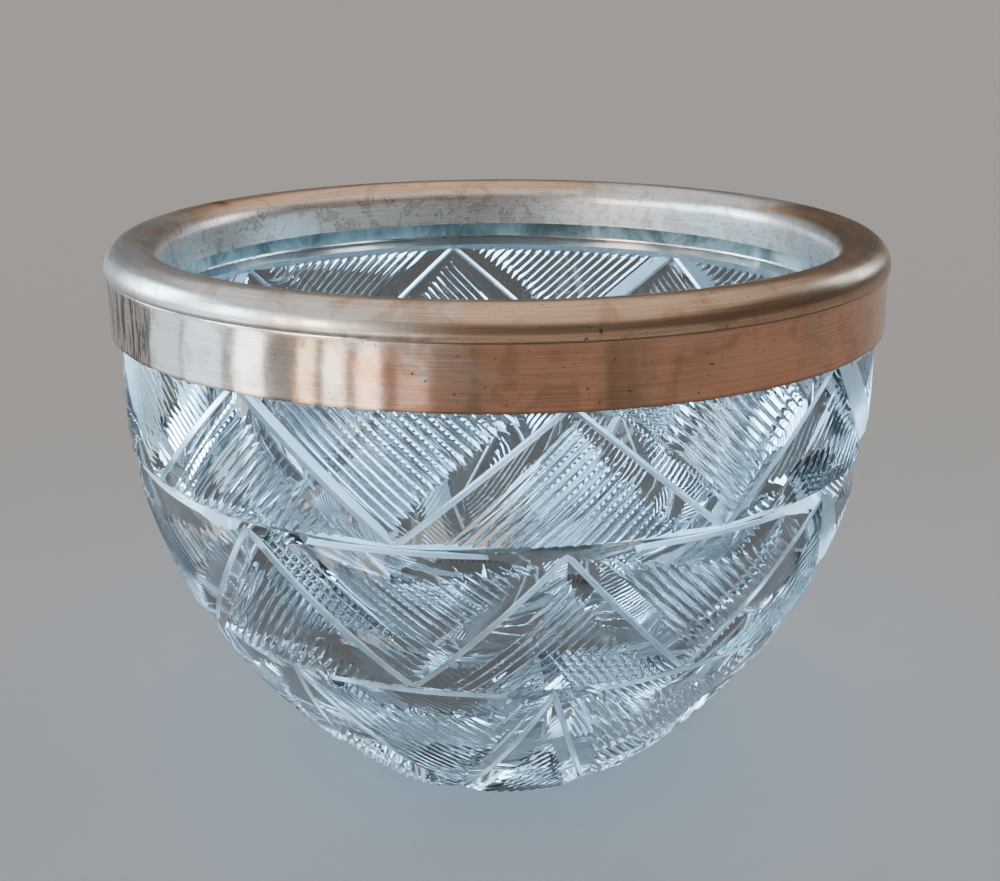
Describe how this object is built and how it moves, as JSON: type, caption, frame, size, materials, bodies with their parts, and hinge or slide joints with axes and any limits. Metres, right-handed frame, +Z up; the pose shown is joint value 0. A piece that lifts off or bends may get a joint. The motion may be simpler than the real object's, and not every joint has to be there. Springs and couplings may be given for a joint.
{
  "type": "cut glass bowl with metal rim",
  "caption": "Round cut crystal bowl with zigzag mitres, polished lens facets and a rolled metal rim bedded on the glass lip; stands on a flat base.",
  "frame": {"origin": "centre of the flat base, on the surface the bowl stands on", "axes": "+Z up along the bowl's axis; -Y towards the front of the picture"},
  "size_m": [0.2, 0.2, 0.1411],
  "materials": {
    "crystal": "clear cut crystal, polished facets and fine flutes",
    "plated_metal": "worn silver plate, tarnished brown and pitted",
    "plaster": "set plaster, matt"
  },
  "bodies": {
    "root": {"glass_bowl": "crystal", "metal_rim": "plated_metal", "plaster_bedding": "plaster"}
  },
  "joints": []
}
